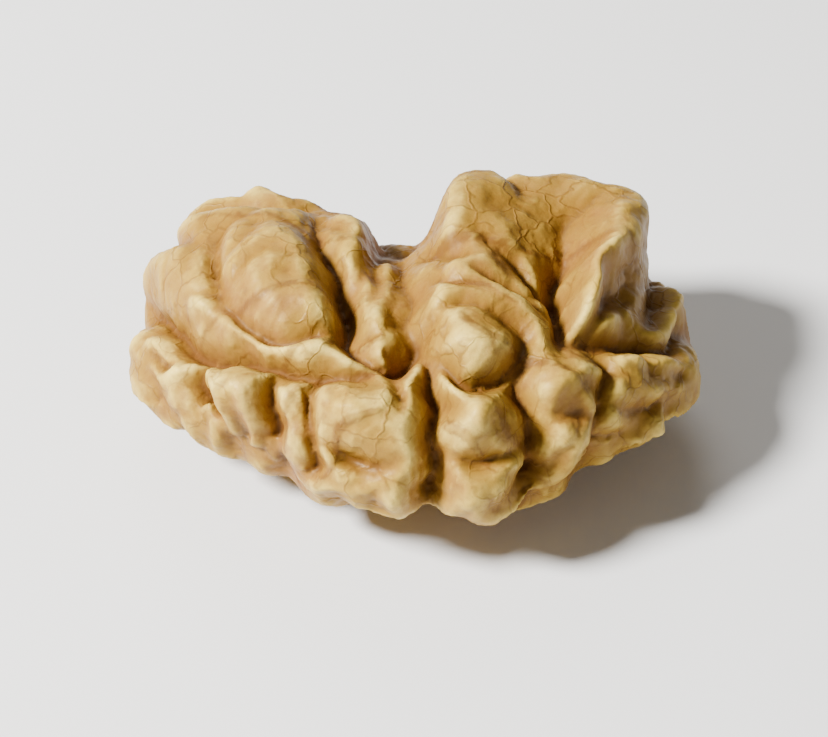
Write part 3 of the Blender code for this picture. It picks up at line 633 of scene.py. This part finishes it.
def kernel_object():
    """The kernel's fine mesh, in the CAD solid's place."""
    mesh, places, known = folded_hull()
    kernel = bpy.data.objects.new("walnut_kernel", mesh)
    bpy.context.scene.collection.objects.link(kernel)
    apply_modifier(kernel, "REMESH", mode="VOXEL", voxel_size=VOXEL)
    keep_outer_body(kernel.data)
    points = coordinates(kernel.data)
    known = carried_over(places, known, points)
    rise = fine_wrinkling(points, known["crease"]) + VEIN_RISE * known["vein"]
    points += normals_of(kernel.data) * rise[:, None]
    kernel.data.vertices.foreach_set("co", points.ravel())
    kernel.data.update()
    store(kernel.data, "crease", known["crease"])
    store(kernel.data, "vein", known["vein"])
    store(kernel.data, "small_form", standing_out(kernel.data, SMALL_FORM_ROUNDS))
    store(kernel.data, "whole_form", standing_out(kernel.data, WHOLE_FORM_ROUNDS))
    low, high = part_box("kernel")
    cut_level(kernel.data, points[:, 2].max() - (high.z - low.z) / MM)
    points = coordinates(kernel.data)
    foot = (points.min(axis=0) + points.max(axis=0)) / 2
    foot[2] = points[:, 2].min()
    middle = (low + high) / 2
    points = (points - foot) * MM + (middle.x, middle.y, low.z)
    kernel.data.vertices.foreach_set("co", points.ravel())
    kernel.data.update()
    kernel.data.shade_smooth()
    return kernel


def add_node(tree, kind, inputs=(), **settings):
    """A shader node with its settings made and its inputs set, or linked where given a socket."""
    node = tree.nodes.new(kind)
    for name, value in settings.items():
        setattr(node, name, value)
    for name, value in inputs:
        if isinstance(value, bpy.types.NodeSocket):
            tree.links.new(value, node.inputs[name])
        else:
            node.inputs[name].default_value = value
    return node


def attribute(tree, name):
    return add_node(tree, "ShaderNodeAttribute", attribute_name=name).outputs["Fac"]


def ranged(tree, value, low, high, to_low=0.0, to_high=1.0):
    """The value's place between low and high, eased at both ends."""
    limits = (("From Min", low), ("From Max", high), ("To Min", to_low), ("To Max", to_high))
    inputs = (("Value", value), *limits)
    return add_node(tree, "ShaderNodeMapRange", inputs, interpolation_type="SMOOTHSTEP").outputs[0]


def scalar_math(tree, operation, first, second):
    return add_node(tree, "ShaderNodeMath", ((0, first), (1, second)), operation=operation).outputs[0]


def vector_math(tree, operation, first, second):
    return add_node(tree, "ShaderNodeVectorMath", ((0, first), (1, second)), operation=operation).outputs[0]


def small_veins(tree, place):
    """A web of hair-thin veins, as lines between the cells of a pattern that noise has bent."""
    size, reach, detail = WEB_BEND
    inputs = (("Vector", place), ("Scale", 1 / size), ("Detail", detail))
    bend = add_node(tree, "ShaderNodeTexNoise", inputs).outputs["Color"]
    bend = vector_math(tree, "MULTIPLY", bend, (reach,) * 3)
    inputs = (("Vector", vector_math(tree, "ADD", place, bend)), ("Scale", 1 / WEB_CELL))
    cells = add_node(tree, "ShaderNodeTexVoronoi", inputs, feature="DISTANCE_TO_EDGE").outputs["Distance"]
    return ranged(tree, cells, WEB_LINE, 0.0)


def mixed(tree, share, first, second):
    """The second colour laid over the first by its share."""
    inputs = (("Factor", share), ("A", first), ("B", second))
    node = tree.nodes.new("ShaderNodeMix")
    node.data_type = "RGBA"
    for name, value in inputs:
        socket = next(s for s in node.inputs if s.name == name and s.enabled)
        if isinstance(value, bpy.types.NodeSocket):
            tree.links.new(value, socket)
        else:
            socket.default_value = value
    return next(s for s in node.outputs if s.enabled)


def skin_values(tree):
    """What the skin's colour and relief depend on, each as a socket under its name."""
    object_place = add_node(tree, "ShaderNodeTexCoord").outputs["Object"]
    place = vector_math(tree, "MULTIPLY", object_place, (1 / MM,) * 3)
    values = {name: attribute(tree, name) for name in SKIN_ATTRIBUTES}
    for name, (size, detail, roughness) in SKIN_NOISES.items():
        inputs = (("Vector", place), ("Scale", 1 / size), ("Detail", detail), ("Roughness", roughness))
        values[name] = add_node(tree, "ShaderNodeTexNoise", inputs).outputs["Fac"]
    shown = ranged(tree, values["patches"], *WEB_SHOWN)
    values["web"] = scalar_math(tree, "MULTIPLY", small_veins(tree, place), shown)
    return values


def skin_colour(tree, values):
    """The tan with the other colours laid over it."""
    colour = TAN
    for laid, share, *causes in SKIN_LAYERS:
        for name, *limits in causes:
            value = ranged(tree, values[name], *limits) if limits else values[name]
            share = scalar_math(tree, "MULTIPLY", value, share)
        colour = mixed(tree, share, colour, laid)
    return colour


def skin_normal(tree, values):
    """The skin's normal, with one bump on the other."""
    under = ()
    for name, strength, height in BUMPS:
        inputs = (("Height", values[name]), ("Strength", strength), ("Distance", height * MM), *under)
        normal = add_node(tree, "ShaderNodeBump", inputs).outputs[0]
        under = (("Normal", normal),)
    return normal


def skin_material():
    """Golden tan skin with veins and a satin gloss: pale on the crests, partly the skin's own paler colour
    and partly painted highlight, and brown in the creases, partly the skin's own browner colour and partly
    painted shade.
    """
    material = bpy.data.materials.new("walnut_skin")
    material.use_nodes = True
    tree = material.node_tree
    finish = tree.nodes["Principled BSDF"]
    values = skin_values(tree)
    gloss = ranged(tree, values["mottle"], *GLOSS)
    dullness = ranged(tree, values["crease"], *DULLNESS)
    tree.links.new(skin_colour(tree, values), finish.inputs["Base Color"])
    tree.links.new(scalar_math(tree, "ADD", gloss, dullness), finish.inputs["Roughness"])
    tree.links.new(skin_normal(tree, values), finish.inputs["Normal"])
    finish.inputs["Subsurface Weight"].default_value = SUBSURFACE_WEIGHT
    finish.inputs["Subsurface Radius"].default_value = SUBSURFACE_RADIUS
    finish.inputs["Subsurface Scale"].default_value = SUBSURFACE_SCALE * MM
    finish.inputs["IOR"].default_value = SKIN_IOR
    finish.inputs["Specular IOR Level"].default_value = SPECULAR_LEVEL
    finish.inputs["Specular Tint"].default_value = SPECULAR_TINT
    return material


def floor_object():
    """A plain pale floor."""
    h = FLOOR_HALF
    mesh = bpy.data.meshes.new("floor")
    mesh.from_pydata([(-h, -h, 0), (h, -h, 0), (h, h, 0), (-h, h, 0)], [], [(0, 1, 2, 3)])
    floor = bpy.data.objects.new("floor", mesh)
    bpy.context.scene.collection.objects.link(floor)
    material = bpy.data.materials.new("floor")
    material.use_nodes = True
    finish = material.node_tree.nodes["Principled BSDF"]
    finish.inputs["Base Color"].default_value = FLOOR_COLOUR
    finish.inputs["Roughness"].default_value = FLOOR_ROUGHNESS
    mesh.materials.append(material)
    return floor


def turn_to(obj, target):
    obj.rotation_mode = "QUATERNION"
    obj.rotation_quaternion = (Vector(target) - obj.location).to_track_quat("-Z", "Y")


def add_lights():
    for name, (place, size, power) in LIGHTS.items():
        light = bpy.data.lights.new(name, "AREA")
        light.shape = "DISK"
        light.size = size
        light.energy = power
        obj = bpy.data.objects.new(name, light)
        obj.location = place
        turn_to(obj, AIM)
        bpy.context.scene.collection.objects.link(obj)
    world = bpy.data.worlds.new("sky")
    world.use_nodes = True
    sky = world.node_tree.nodes["Background"]
    sky.inputs["Color"].default_value = SKY_COLOUR
    sky.inputs["Strength"].default_value = SKY_STRENGTH
    bpy.context.scene.world = world


def add_camera():
    camera = bpy.data.objects.new("camera", bpy.data.cameras.new("camera"))
    camera.data.lens = LENS
    camera.data.clip_start = CLIP_START
    rise = math.radians(ELEVATION)
    camera.location = Vector(AIM) + DISTANCE * Vector((0, -math.cos(rise), math.sin(rise)))
    turn_to(camera, AIM)
    bpy.context.scene.collection.objects.link(camera)
    bpy.context.scene.camera = camera


add_camera()
add_lights()
floor_object()
kernel = kernel_object()
kernel.data.materials.append(skin_material())
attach(kernel, "root")
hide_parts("kernel")
